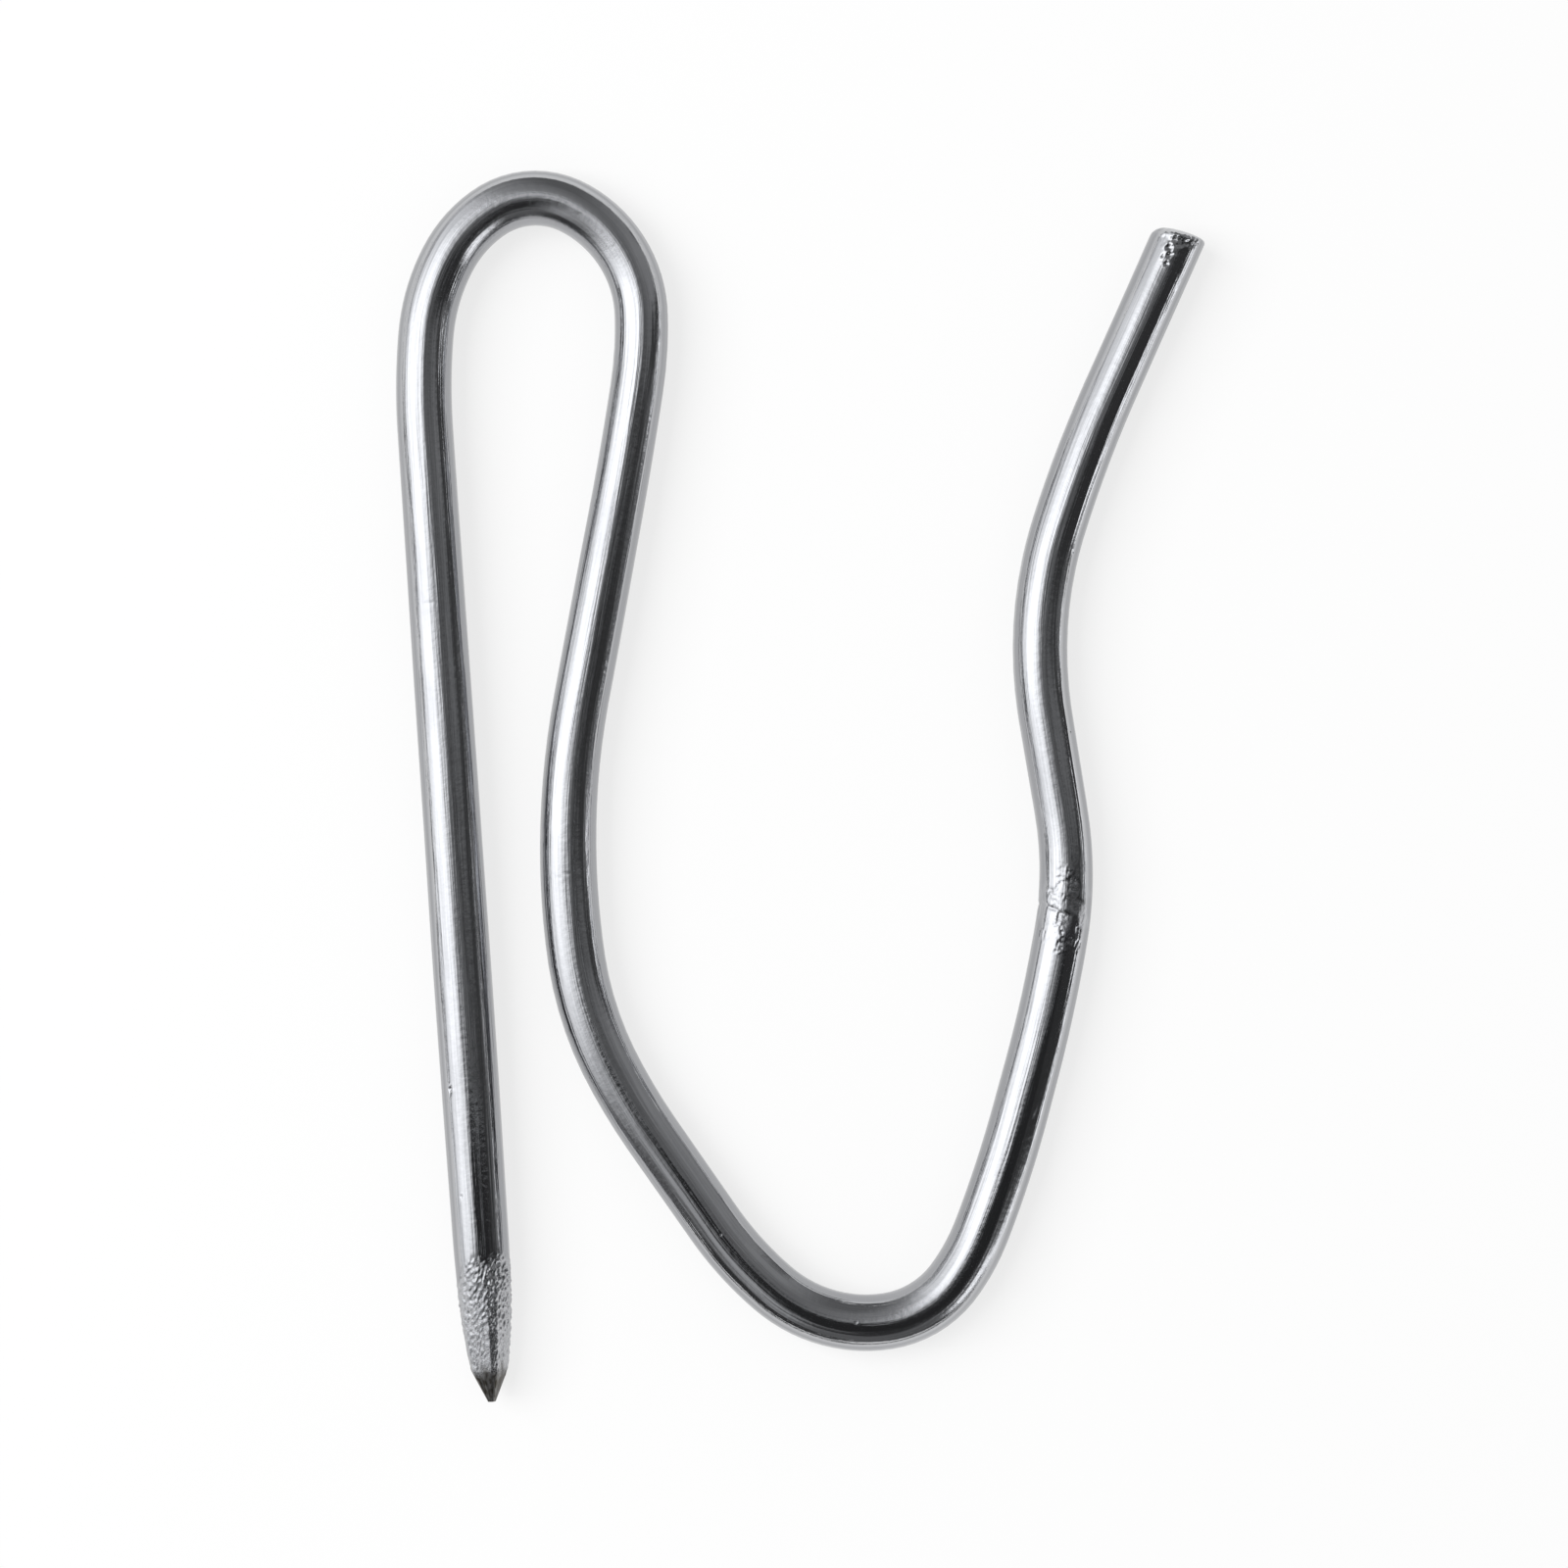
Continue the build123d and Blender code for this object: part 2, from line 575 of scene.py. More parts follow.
@dataclass
class HookWire:
    """The whole hook, made as the real one is: drawn straight, pointed, pressed, cropped and bent.

    Until it is bent, the blank's axis is its Y, with the point at 0, its left side towards -X and
    its upper side towards +Z. Sizes are in mm and angles in degrees from +X towards +Z.
    """

    chart: BendChart
    radius: float
    sides: int = 144
    finest_step: float = 0.045

    # Point
    point_length: float = 4.8
    cone_length: float = 0.9
    cone_radius: float = 0.475
    tip_radius: float = 0.1
    tip_dome: float = 0.01
    flat_angle: float = 115.0
    flat_depth: float = 0.86
    bare_length: tuple[float, float] = (0.75, 1.15)
    peen_length: float = 4.30
    peen_height: float = 0.042
    peen_slant: float = 0.42

    # Knee, where the jaws gripped the wire and folded it
    fold_run: float = 87.65
    fold_depth: float = 0.055
    fold_slant: float = 0.24
    jaw_reach: float = 1.35
    jaw_angle: float = 88.0
    jaw_spread: float = 95.0
    jaw_grain: float = 0.03

    # Strain in the tight bends, and waves along the wire
    saddle_strain: float = 0.3
    loop_strain: float = 0.35
    long_wave: float = 0.010
    short_wave: float = 0.0045

    # Free end
    crop_skew: float = 6.0
    crop_round: float = 0.24
    crop_zone: float = 1.6
    crop_dome: float = 0.05

    # Half width in the plane of the bends, as a share of the wire's radius
    widths: tuple[tuple[float, float], ...] = (
        (3.0, 1.0), (12.0, 1.045), (17.0, 1.03), (26.0, 1.0), (34.0, 0.98), (44.0, 0.955),
        (52.0, 0.99), (60.0, 1.035), (72.0, 1.01), (80.0, 1.015), (86.0, 0.98), (89.5, 0.955),
        (96.0, 0.98), (105.0, 0.96),
    )

    def zones(self) -> tuple[Zone, ...]:
        """Returns the blank's stretches, with their rings closest where the relief is finest."""
        end = self.chart.length()
        return (
            Zone(self.point_length + 0.1, 0.034),
            Zone(self.chart.pin, 0.6),
            Zone(42.0, 0.25),
            Zone(68.0, 0.6),
            Zone(80.0, 0.27),
            Zone(self.fold_run - self.jaw_reach, 0.5),
            Zone(self.fold_run + self.jaw_reach + 0.2, 0.042),
            Zone(end - self.crop_zone, 0.6),
            Zone(end - self.crop_round, 0.045),
            Zone(end, 0.03),
        )

    def marks(self) -> tuple[Mark, ...]:
        """Returns the marks of tools and handling.

        Returns:
            The pits, nicks and jaw marks, in the order in which they were chosen.
        """
        end = self.chart.length()
        single = (
            Mark(MarkKind.PIT, 9.05, 129.0, 0.075, 0.055),
            Mark(MarkKind.PIT, 5.98, 120.0, 0.05, 0.025),
            Mark(MarkKind.NICK, 22.9, 101.0, 0.20, 0.005),
            Mark(MarkKind.NICK, 57.2, 88.0, 0.15, 0.004),
            Mark(MarkKind.NICK, 57.3, 70.0, 0.12, 0.005),
            Mark(MarkKind.TOOTH, 81.8, 62.0, 0.16, 0.010),
            Mark(MarkKind.PIT, 68.6, 92.0, 0.05, 0.02),
            Mark(MarkKind.PIT, 73.4, 95.0, 0.05, 0.02),
            Mark(MarkKind.PIT, 92.8, 41.0, 0.07, 0.02),
            Mark(MarkKind.PIT, 98.2, 44.0, 0.06, 0.014),
            Mark(MarkKind.PIT, end - 0.60, 102.0, 0.12, 0.05),
            Mark(MarkKind.PIT, end - 0.80, 94.0, 0.09, 0.06),
            Mark(MarkKind.PIT, end - 0.88, 106.0, 0.06, 0.03),
            Mark(MarkKind.PIT, end - 1.07, 93.0, 0.08, 0.05),
            Mark(MarkKind.NICK, end - 0.45, 86.0, 0.13, 0.035),
            Mark(MarkKind.BURR, end - 0.20, 112.0, 0.26, -0.03),
            Mark(MarkKind.BURR, end - 0.16, 92.0, 0.24, -0.045),
        )
        chance = random.Random(11)
        # How far past the fold, the angle and the size of each cluster of teeth
        clusters = (
            (-0.45, 146.0, 0.10),
            (-0.60, 138.0, 0.10),
            (-0.50, 98.0, 0.09),
            (-0.75, 92.0, 0.09),
            (-1.00, 96.0, 0.09),
            (-0.80, 74.0, 0.09),
            (-0.95, 55.0, 0.10),
            (-0.35, 58.0, 0.10),
            (0.20, 118.0, 0.05),
            (0.25, 104.0, 0.05),
            (0.45, 112.0, 0.05),
            (0.50, 94.0, 0.06),
            (0.75, 86.0, 0.08),
            (0.95, 78.0, 0.09),
            (1.15, 84.0, 0.07),
        )
        teeth = tuple(
            Mark(chance.choice((MarkKind.TOOTH, MarkKind.TOOTH, MarkKind.PIT)),
                 self.fold_run + past + chance.uniform(-0.14, 0.14),
                 angle + chance.uniform(-7.0, 7.0),
                 size * chance.uniform(0.5, 1.0), size * chance.uniform(0.07, 0.2))
            for past, angle, size in clusters
            for _ in range(5)
        )
        return single + teeth

    def draw_blank(self) -> bmesh.types.BMesh:
        """Draws the straight wire as rings, closest together in the finer zones and near a mark.

        Returns:
            The open blank, in mm.
        """
        wire = bmesh.new()
        upright = Matrix.Rotation(math.radians(90.0), 4, "X")
        bmesh.ops.create_circle(wire, cap_ends=False, segments=self.sides, radius=self.radius,
                                matrix=upright)
        ring = list(wire.edges)
        marked = [mark.run for mark in self.marks()]
        run = 0.0
        for zone in self.zones():
            while run < zone.end - 1e-6:
                near = min(abs(run - place) for place in marked)
                step = min(zone.step, max(self.finest_step, 0.6 * near), zone.end - run)
                made = bmesh.ops.spin(
                    wire, geom=ring, cent=(0.0, 0.0, 0.0), axis=(0.0, 1.0, 0.0),
                    dvec=(0.0, step, 0.0), angle=0.0, steps=1, use_merge=False, use_duplicate=False)
                ring = [item for item in made["geom_last"] if isinstance(item, bmesh.types.BMEdge)]
                run += step
        return wire

    def profile(self, run: float, angle: float) -> float:
        """Finds the radius of the pointed and cropped blank.

        Args:
            run: Length along the wire.
            angle: Angle around it, which sets how far the shear rounded the rim.

        Returns:
            The radius in mm.
        """
        if run < self.cone_length:
            share = run / self.cone_length
            return self.tip_radius + (self.cone_radius - self.tip_radius) * share
        if run < self.point_length:
            left = (self.point_length - run) / (self.point_length - self.cone_length)
            return self.radius - (self.radius - self.cone_radius) * left * left
        rim = self.crop_round * (1.0 - 0.5 * math.cos(math.radians(angle)))
        past = min(run - (self.chart.length() - rim), rim)
        if past > 0.0:
            return self.radius - rim + math.sqrt(rim * rim - past * past)
        return self.radius

    def flats(self, run: float, angle: float) -> float:
        """Finds how the ground flats change the radius near the tip.

        Args:
            run: Length along the wire.
            angle: Angle around it.

        Returns:
            The share of the radius that is left.
        """
        strength = 1.0 - smooth_step(0.6, self.point_length - 0.4, run)
        if strength <= 0.0:
            return 1.0
        lean = turn_between(angle, self.flat_angle) % 90.0
        lean = min(lean, 90.0 - lean)
        flat = min(1.04, self.flat_depth / math.cos(math.radians(lean)))
        return 1.0 + (flat * 1.06 - 1.0) * strength

    def peened(self, run: float, angle: float) -> float:
        """Returns how much the point was peened at a place, from 0 to 1."""
        side = math.cos(math.radians(angle))
        edge = self.peen_length - (0.85 if side < 0.0 else 0.1) * side * side
        edge += 0.28 * noise.noise(Vector((angle * 0.07, 3.1, 0.0)))
        inner = smooth_step(0.45, 1.0, run)
        return inner * (1.0 - smooth_step(edge - 0.35, edge + 0.1, run))

    def jawed(self, run: float, angle: float) -> float:
        """Returns how much the jaws roughened a place at the knee, from 0 to 1."""
        along = run - self.fold_run - 0.25
        aside = turn_between(angle, self.jaw_angle)
        reach = math.hypot(along / self.jaw_reach, aside / self.jaw_spread)
        patch = noise.noise(Vector((math.cos(math.radians(angle)) * 2.4, run * 2.2, 0.0)))
        return (1.0 - smooth_step(0.45, 1.0, reach)) * smooth_step(-0.25, 0.3, patch)

    def strained(self, run: float, angle: float) -> float:
        """Returns how much a tight bend strained a place, from 0 to 1."""
        saddle = smooth_step(73.5, 75.0, run) * (1.0 - smooth_step(77.0, 79.0, run))
        crown = smooth_step(32.5, 34.0, run) * (1.0 - smooth_step(38.0, 40.5, run))
        side = 0.5 + 0.5 * math.cos(math.radians(turn_between(angle, 40.0)))
        return max(self.saddle_strain * saddle, self.loop_strain * crown * side)

    def relief(self, run: float, angle: float, spot: Vector, marks: tuple[Mark, ...]) -> float:
        """Adds up what lifts or lowers the surface at a place.

        Args:
            run: Length along the wire.
            angle: Angle around it.
            spot: The place on the round blank.
            marks: The marks near this run.

        Returns:
            The change of radius in mm.
        """
        total = sum(mark.relief(run, angle, self.radius) for mark in marks)
        total += self.long_wave * noise.noise(Vector((spot.x * 0.8, run * 0.16, spot.z * 0.8)))
        total += self.short_wave * noise.noise(Vector((spot.x * 2.4, run * 0.22, spot.z * 2.4)))
        if run < self.point_length:
            total += self.peening(run, angle, spot)
        if abs(run - self.fold_run) < self.jaw_reach + 0.4:
            total += self.folding(run, angle, spot)
        return total

    def peening(self, run: float, angle: float, spot: Vector) -> float:
        """Finds the relief of the peened skin, whose dashes slant up to the right.

        Args:
            run: Length along the wire.
            angle: Angle around it.
            spot: The place on the round blank.

        Returns:
            The change of radius in mm.
        """
        peened = self.peened(run, angle)
        if peened <= 0.0:
            return 0.0
        along = 0.9 * run + self.peen_slant * spot.x
        across = 0.9 * spot.x - self.peen_slant * run
        dashes = noise.noise(Vector((across * 15.0, along * 7.5, spot.z * 15.0)))
        grains = noise.voronoi(Vector((across * 12.5, along * 8.0, spot.z * 12.5)))[0][0]
        height = self.peen_height * (0.6 + 0.4 * smooth_step(1.3, 3.2, run))
        height *= 1.0 + 0.8 * smooth_step(0.1, 0.5, spot.x / self.radius)
        return peened * height * 0.7 * (dashes + 0.45 - grains)

    def folding(self, run: float, angle: float, spot: Vector) -> float:
        """Finds the relief of the knee: a fold with a lip, and skin that the jaws crumpled.

        Args:
            run: Length along the wire.
            angle: Angle around it.
            spot: The place on the round blank.

        Returns:
            The change of radius in mm.
        """
        side = math.cos(math.radians(angle))
        fold = run - self.fold_run + self.fold_slant * side + 0.06 * noise.noise(spot * 2.4)
        depth = self.fold_depth * smooth_step(0.3, -0.5, side)
        depth *= smooth_step(-0.6, 0.3, math.sin(math.radians(angle)))
        depth *= 0.75 + 0.6 * noise.noise(spot * 4.0)
        lip = smooth_step(-0.03, 0.07, fold) * math.exp(-max(fold, 0.0) / 0.5)
        crease = math.exp(-((fold / 0.05) ** 2)) + math.exp(-((fold / 0.3) ** 2))
        jawed = self.jawed(run, angle) * (0.6 + 1.5 * smooth_step(0.15, -0.3, side))
        crumple = jawed * self.jaw_grain * (0.4 - noise.voronoi(spot * 10.0)[0][0])
        return depth * (0.45 * lip - 0.6 * crease) + crumple

    def shape(self, wire: bmesh.types.BMesh) -> None:
        """Gives the blank its point, crop and marks, and notes where it is worn or bare.

        Args:
            wire: The open blank.
        """
        blank = wire.verts.layers.float_vector.new("blank")
        worn = wire.verts.layers.float.new("worn")
        bare = wire.verts.layers.float.new("bare")
        end = self.chart.length()
        marks = self.marks()
        near: tuple[Mark, ...] = ()
        last_run = -1.0
        for vert in wire.verts:
            run = vert.co.y
            if run != last_run:
                near = tuple(mark for mark in marks if abs(mark.run - run) < 4.0 * mark.size)
                last_run = run
            angle = math.degrees(math.atan2(vert.co.z, vert.co.x))
            spot = vert.co.copy()
            vert[blank] = spot
            vert[worn] = max(self.peened(run, angle) if run < self.point_length else 0.0,
                             0.8 * self.jawed(run, angle) if abs(run - self.fold_run) < 2.0 else 0.0,
                             self.strained(run, angle))
            vert[bare] = 1.0 - smooth_step(*self.bare_length, run + 0.25 * noise.noise(spot * 2.2))
            width = follow(self.widths, run)
            size = self.profile(run, angle) * self.flats(run, angle) / self.radius
            lift = self.relief(run, angle, spot, near) * min(1.0, size + 0.1) / self.radius
            vert.co.x *= size * width + lift
            vert.co.z *= size + lift
            skewed = smooth_step(end - self.crop_zone, end, run)
            vert.co.y += skewed * vert.co.x * math.tan(math.radians(self.crop_skew))

    def close_end(self, wire: bmesh.types.BMesh, is_tip: bool, steps: int, dome: float) -> None:
        """Closes one end with rings that step in to its middle.

        Args:
            wire: The shaped blank.
            is_tip: Whether the tip is closed, and not the cropped end.
            steps: How many rings there are.
            dome: How far the middle stands out, in mm.
        """
        rim = [edge for edge in wire.edges if edge.is_boundary
               and (edge.verts[0].co.y < self.cone_length) == is_tip]
        middle = sum((edge.verts[0].co for edge in rim), Vector()) / len(rim)
        middle.y += math.copysign(dome, -1.0 if is_tip else 1.0)
        for step in range(steps):
            made = bmesh.ops.extrude_edge_only(wire, edges=rim)["geom"]
            ring = [item for item in made if isinstance(item, bmesh.types.BMVert)]
            rim = [item for item in made if isinstance(item, bmesh.types.BMEdge)
                   and all(vert in ring for vert in item.verts)]
            for face in (item for item in made if isinstance(item, bmesh.types.BMFace)):
                face.material_index = 0 if is_tip else 1
            for vert in ring:
                vert.co = vert.co.lerp(middle, 1.0 / (steps - step + 1))
        cap = bmesh.ops.contextual_create(wire, geom=rim)["faces"]
        cap[0].material_index = 0 if is_tip else 1
        centre = bmesh.ops.poke(wire, faces=cap)["verts"][0]
        centre.co = middle

    def bend(self, wire: bmesh.types.BMesh) -> None:
        """Bends the blank along the chart.

        Args:
            wire: The closed blank.
        """
        places: dict[float, Matrix] = {}
        for vert in wire.verts:
            run = round(vert.co.y, 4)
            if run not in places:
                places[run] = self.chart.place(run)
            vert.co = places[run] @ Vector((vert.co.x, 0.0, vert.co.z))

    def make(self, tip: Vector, finishes: list[bpy.types.Material]) -> bpy.types.Object:
        """Makes the hook and sets it where the model has it.

        Args:
            tip: The middle of the point's tip, in metres.
            finishes: The plated finish and the cropped one.

        Returns:
            The hook's object.
        """
        wire = self.draw_blank()
        self.shape(wire)
        self.close_end(wire, is_tip=True, steps=2, dome=self.tip_dome)
        self.close_end(wire, is_tip=False, steps=6, dome=self.crop_dome)
        self.bend(wire)
        bmesh.ops.scale(wire, vec=(MM, MM, MM), verts=wire.verts)
        bmesh.ops.translate(wire, vec=tip, verts=wire.verts)
        bmesh.ops.recalc_face_normals(wire, faces=wire.faces)
        for face in wire.faces:
            face.smooth = True
        mesh = bpy.data.meshes.new("bent_wire")
        wire.to_mesh(mesh)
        wire.free()
        for finish in finishes:
            mesh.materials.append(finish)
        hook = bpy.data.objects.new("bent_wire", mesh)
        bpy.context.scene.collection.objects.link(hook)
        LOG.info("bent_wire: %d faces over %.1f mm of wire", len(mesh.polygons), self.chart.length())
        return hook


# The studio


@dataclass(frozen=True)
class Panel:
    """A soft patch of the room, placed by the tilt of the surface that mirrors it to the camera."""

    across: float
    up: float
    half_width: float
    half_height: float
    turn: float
    softness: float
    level: float


@dataclass(frozen=True)
class Card:
    """A flat card hung over the hook: its place and size in mm, its turn, and how bright it looks."""

    name: str
    across: float
    up: float
    height: float
    width: float
    depth: float
    turn: float
    level: float


@dataclass(frozen=True)
class Softbox:
    """A lamp: where it stands as seen from the hook, how large it is, and its brightness."""

    name: str
    azimuth: float
    from_zenith: float
    distance: float
    width: float
    height: float
    brightness: float


@dataclass
class Studio:
    """A pale floor, soft lamps, a dim room with a window that only the metal mirrors, and the camera."""

    aim: Vector
    shift: tuple[float, float] = (-1.35, -0.48)
    view_width: float = 44.9
    roll: float = 3.93
    lens: float = 100.0
    sensor: float = 36.0
    floor_size: float = 4.0
    floor_colour: tuple[float, float, float, float] = (0.88, 0.88, 0.88, 1.0)
    floor_white: float = 0.72
    shadow_reach: tuple[float, float] = (0.03, 0.10)
    ambient: float = 0.56
    room_radius: float = 0.6
    room_level: float = 0.16
    softboxes: tuple[Softbox, ...] = (
        Softbox("window_light", 166.0, 42.0, 0.4, 0.26, 0.32, 5.2),
    )
    cards: tuple[Card, ...] = (
        Card("dark_card", 26.0, -59.0, 112.0, 108.0, 84.0, -3.0, 0.03),
        Card("card_edge", 26.0, -16.3, 112.0, 108.0, 1.4, -3.0, 0.34),
        Card("light_strip", 72.0, 25.0, 78.0, 174.0, 3.0, 38.0, 0.26),
    )
    panels: tuple[Panel, ...] = (
        Panel(0.45, -0.75, 0.85, 0.25, -25.0, 0.08, 0.06),
        Panel(0.60, 0.36, 0.33, 0.32, 25.0, 0.15, 0.32),
        Panel(0.54, 0.50, 0.11, 0.03, -45.0, 0.05, 0.06),
        Panel(0.54, 0.05, 0.70, 0.06, -40.0, 0.05, 0.06),
        Panel(-0.38, -0.69, 0.22, 0.25, -53.0, 0.05, 0.05),
        Panel(-0.24, -0.25, 0.18, 0.08, 80.0, 0.06, 0.50),
        Panel(0.39, -0.11, 0.26, 0.08, 15.0, 0.05, 0.045),
        Panel(-0.43, 0.04, 0.31, 0.20, -37.0, 0.13, 1.30),
        Panel(-0.39, 0.29, 0.18, 0.25, 32.0, 0.12, 1.15),
        Panel(-0.48, -0.18, 0.06, 0.14, 44.0, 0.12, 1.15),
        Panel(-0.32, 0.08, 0.24, 0.13, -22.0, 0.12, 2.20),
        Panel(0.46, -0.36, 0.13, 0.055, -33.0, 0.045, 2.10),
        Panel(0.655, -0.28, 0.045, 0.15, 15.0, 0.03, 2.00),
        Panel(-0.72, 0.10, 0.035, 0.20, -12.0, 0.03, 0.09),
        Panel(0.688, 0.05, 0.012, 0.10, 0.0, 0.012, 2.00),
        Panel(-0.29, 0.64, 0.60, 0.10, 58.0, 0.15, 0.34),
    )

    def turned(self, vector: tuple[float, float, float]) -> Vector:
        """Turns a direction from the camera's right and up to the model's X and Y."""
        return Matrix.Rotation(math.radians(-self.roll), 3, "Z") @ Vector(vector)

    def stage(self, name: str, solid: bmesh.types.BMesh,
              material: bpy.types.Material) -> bpy.types.Object:
        """Puts a staged shape in the scene.

        Args:
            name: Its name.
            solid: Its mesh, which is freed.
            material: Its material.

        Returns:
            Its object.
        """
        mesh = bpy.data.meshes.new(name)
        solid.to_mesh(mesh)
        solid.free()
        mesh.materials.append(material)
        thing = bpy.data.objects.new(name, mesh)
        bpy.context.scene.collection.objects.link(thing)
        return thing

    @staticmethod
    def seen(bench: NodeBench) -> bpy.types.NodeSocket:
        """Finds the rays of the camera, of mirrors and of glass.

        Args:
            bench: The tree to work in.

        Returns:
            A socket that is 1 for those rays and 0 for all others.
        """
        rays = bench.add("LightPath")
        return bench.math("MAXIMUM", rays.outputs["Is Camera Ray"],
                          bench.math("MAXIMUM", rays.outputs["Is Glossy Ray"],
                                     rays.outputs["Is Transmission Ray"]))

    def make_floor(self) -> None:
        """Lays the white floor, which keeps a faint shadow near the hook and none far off."""
        material = bpy.data.materials.new("pale_floor")
        material.use_nodes = True
        material.cycles.emission_sampling = "NONE"
        bench = NodeBench(material.node_tree)
        shader = material.node_tree.nodes["Principled BSDF"]
        shader.inputs["Base Color"].default_value = self.floor_colour
        shader.inputs["Roughness"].default_value = 0.9
        shader.inputs["Specular IOR Level"].default_value = 0.0
        away = bench.add("VectorMath", operation="LENGTH")
        bench.feed(away.inputs[0], bench.add("TexCoord").outputs["Object"])
        share = bench.ease(away.outputs["Value"], *self.shadow_reach, self.floor_white, 1.0)
        white = bench.add("Emission")
        white.inputs["Strength"].default_value = 1.0
        mixed = bench.add("MixShader")
        bench.feed(mixed.inputs[0], bench.math("MULTIPLY", share, self.seen(bench)))
        bench.feed(mixed.inputs[1], shader.outputs[0])
        bench.feed(mixed.inputs[2], white.outputs[0])
        bench.feed(material.node_tree.nodes["Material Output"].inputs["Surface"], mixed.outputs[0])
        plane = bmesh.new()
        bmesh.ops.create_grid(plane, x_segments=1, y_segments=1, size=self.floor_size / 2)
        self.stage("floor", plane, material)

    def make_panel_group(self) -> bpy.types.NodeTree:
        """Builds the soft rectangle that each panel of the room is.

        Returns:
            A group whose Mask is 1 inside the panel.
        """
        bench, given, out = open_group(
            "soft_panel",
            {"Spot": "Vector", "Centre": "Vector", "Half": "Vector", "Turn": "Float", "Soft": "Float"},
            ("Mask",))
        turned = bench.add("VectorRotate", rotation_type="Z_AXIS")
        bench.feed(turned.inputs["Vector"], given.outputs["Spot"])
        bench.feed(turned.inputs["Center"], given.outputs["Centre"])
        bench.feed(turned.inputs["Angle"], given.outputs["Turn"])
        offset = bench.add("VectorMath", operation="SUBTRACT")
        bench.feed(offset.inputs[0], turned.outputs[0])
        bench.feed(offset.inputs[1], given.outputs["Centre"])
        place = bench.add("SeparateXYZ")
        bench.feed(place.inputs[0], offset.outputs[0])
        half = bench.add("SeparateXYZ")
        bench.feed(half.inputs[0], given.outputs["Half"])
        masks = []
        for axis in ("X", "Y"):
            away = bench.math("ABSOLUTE", place.outputs[axis])
            far = bench.math("ADD", half.outputs[axis], given.outputs["Soft"])
            near = bench.math("SUBTRACT", half.outputs[axis], given.outputs["Soft"])
            masks.append(bench.ease(away, near, far, 1.0, 0.0))
        bench.feed(out.inputs["Mask"], bench.math("MULTIPLY", *masks))
        return bench.tree

    def make_room(self) -> None:
        """Hangs the dim room over the hook as a dome that only mirrored rays meet."""
        material = bpy.data.materials.new("dim_room")
        material.use_nodes = True
        material.cycles.emission_sampling = "NONE"
        material.node_tree.nodes.clear()
        bench = NodeBench(material.node_tree)
        way = bench.add("VectorMath", operation="NORMALIZE")
        bench.feed(way.inputs[0], bench.add("TexCoord").outputs["Object"])
        unrolled = bench.add("VectorRotate", rotation_type="Z_AXIS")
        bench.feed(unrolled.inputs["Vector"], way.outputs[0])
        unrolled.inputs["Angle"].default_value = math.radians(self.roll)
        height = bench.add("SeparateXYZ")
        bench.feed(height.inputs[0], unrolled.outputs[0])
        doubled = bench.math("MULTIPLY", bench.math("ADD", height.outputs["Z"], 1.0), 2.0)
        spot = bench.add("VectorMath", operation="SCALE")
        bench.feed(spot.inputs[0], unrolled.outputs[0])
        bench.feed(spot.inputs["Scale"], bench.math("DIVIDE", 1.0, bench.math("SQRT", doubled)))
        group = self.make_panel_group()
        level = self.room_level
        for panel in self.panels:
            mask = bench.place(group, Spot=spot.outputs[0], Centre=(panel.across, panel.up, 0.0),
                               Half=(panel.half_width, panel.half_height, 0.0),
                               Turn=math.radians(panel.turn), Soft=panel.softness).outputs["Mask"]
            keep = bench.math("MULTIPLY", level, bench.math("SUBTRACT", 1.0, mask))
            level = bench.math("ADD", keep, bench.math("MULTIPLY", mask, panel.level))
        glow = bench.add("Emission")
        glow.inputs["Color"].default_value = (0.97, 0.98, 1.0, 1.0)
        bench.feed(glow.inputs["Strength"], level)
        bench.feed(bench.add("OutputMaterial").inputs["Surface"], glow.outputs[0])
        dome = bmesh.new()
        bmesh.ops.create_uvsphere(dome, u_segments=96, v_segments=48, radius=self.room_radius)
        bmesh.ops.bisect_plane(dome, geom=[*dome.verts, *dome.edges, *dome.faces],
                               plane_co=(0.0, 0.0, 0.0), plane_no=(0.0, 0.0, -1.0), clear_outer=True)
        self.mirror_only(self.stage("room", dome, material))

    def make_card(self, card: Card) -> None:
        """Hangs a card over the hook, where only the metal shows it.

        Args:
            card: The card.
        """
        material = bpy.data.materials.new(card.name)
        material.use_nodes = True
        material.cycles.emission_sampling = "NONE"
        material.node_tree.nodes.clear()
        bench = NodeBench(material.node_tree)
        glow = bench.add("Emission")
        glow.inputs["Color"].default_value = (0.95, 0.97, 1.0, 1.0)
        glow.inputs["Strength"].default_value = card.level
        bench.feed(bench.add("OutputMaterial").inputs["Surface"], glow.outputs[0])
        sheet = bmesh.new()
        bmesh.ops.create_grid(sheet, x_segments=1, y_segments=1, size=0.5 * MM)
        bmesh.ops.scale(sheet, vec=(card.width, card.depth, 1.0), verts=sheet.verts)
        bmesh.ops.rotate(sheet, cent=(0.0, 0.0, 0.0), verts=sheet.verts,
                         matrix=Matrix.Rotation(math.radians(card.turn), 3, "Z"))
        place = Vector((card.across, card.up, card.height)) * MM
        bmesh.ops.translate(sheet, vec=place, verts=sheet.verts)
        self.mirror_only(self.stage(card.name, sheet, material))

    @staticmethod
    def mirror_only(thing: bpy.types.Object) -> None:
        """Hides a staged object from every ray but those that metal mirrors."""
        thing.visible_camera = False
        thing.visible_diffuse = False
        thing.visible_transmission = False
        thing.visible_shadow = False
        thing.visible_volume_scatter = False

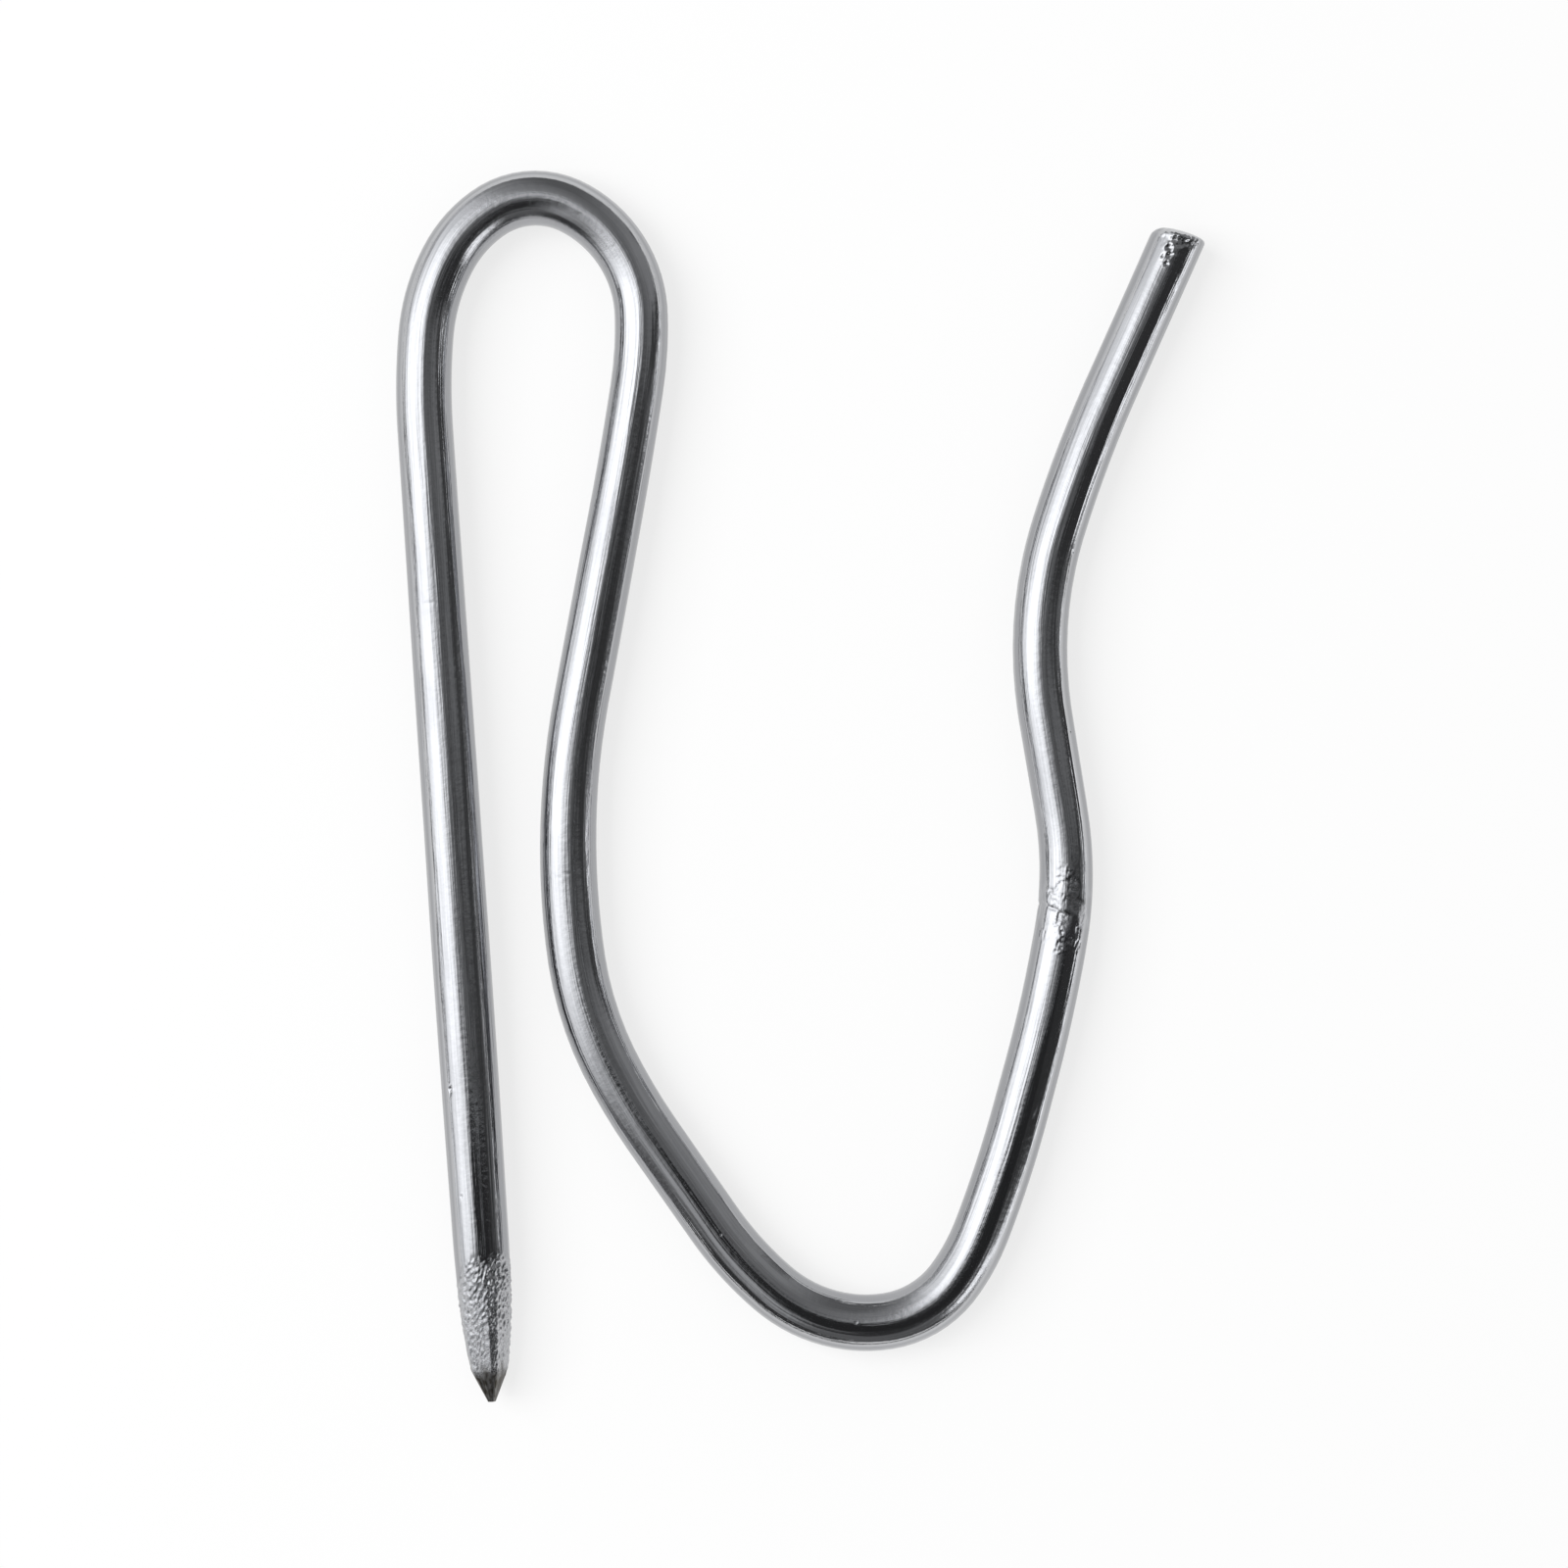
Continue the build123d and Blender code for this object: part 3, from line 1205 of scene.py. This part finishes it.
    def make_lamps(self) -> None:
        """Sets up the softboxes, each facing the hook."""
        for box in self.softboxes:
            tilt, around = math.radians(box.from_zenith), math.radians(box.azimuth)
            way = self.turned((math.sin(tilt) * math.cos(around), math.sin(tilt) * math.sin(around),
                               math.cos(tilt)))
            data = bpy.data.lights.new(box.name, "AREA")
            data.shape = "RECTANGLE"
            data.size, data.size_y = box.width, box.height
            data.energy = box.brightness * math.pi * box.width * box.height
            lamp = bpy.data.objects.new(box.name, data)
            lamp.location = way * box.distance
            lamp.rotation_euler = (-way).to_track_quat("-Z", "Y").to_euler()
            lamp.visible_camera = False
            lamp.visible_glossy = False
            bpy.context.scene.collection.objects.link(lamp)

    def make_world(self) -> None:
        """Makes the background white to the camera and to mirrored rays, and soft elsewhere."""
        world = bpy.data.worlds.new("studio")
        world.use_nodes = True
        bpy.context.scene.world = world
        bench = NodeBench(world.node_tree)
        sky = world.node_tree.nodes["Background"]
        sky.inputs["Color"].default_value = (1.0, 1.0, 1.0, 1.0)
        bench.feed(sky.inputs["Strength"], bench.ease(self.seen(bench), 0.0, 1.0, self.ambient, 1.0))

    def make_camera(self) -> None:
        """Sets the camera straight above the hook."""
        data = bpy.data.cameras.new("overhead")
        data.lens = self.lens
        data.sensor_width = self.sensor
        data.clip_start = 0.001
        camera = bpy.data.objects.new("overhead", data)
        height = self.view_width * MM * self.lens / self.sensor
        camera.location = self.aim + Vector((self.shift[0] * MM, self.shift[1] * MM, height))
        camera.rotation_euler = (0.0, 0.0, math.radians(-self.roll))
        bpy.context.scene.collection.objects.link(camera)
        bpy.context.scene.camera = camera

    def make(self) -> None:
        """Makes the whole studio."""
        self.make_camera()
        self.make_floor()
        self.make_room()
        for card in self.cards:
            self.make_card(card)
        self.make_lamps()
        self.make_world()
        bpy.context.scene.view_settings.view_transform = "Standard"
        LOG.info("studio: %d softboxes and %d panels", len(self.softboxes), len(self.panels))


def main() -> None:
    """Builds the studio and the hook."""
    logging.basicConfig(level=logging.INFO, format="%(name)s: %(message)s")
    low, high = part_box("hook_wire")
    radius = (high.z - low.z) / 2
    tip = Vector((low.x + radius, low.y, low.z + radius))
    middle = (low + high) / 2
    Studio(aim=Vector((middle.x, middle.y, radius))).make()
    lines, grain = draw_lines_group(), grain_group()
    finishes = [PlatedFinish().make(lines, grain), CroppedFinish().make(lines, grain)]
    hook = HookWire(chart=BendChart(), radius=radius / MM).make(tip, finishes)
    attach(hook, "root")
    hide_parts("hook_wire")


if __name__ == "__main__":
    main()
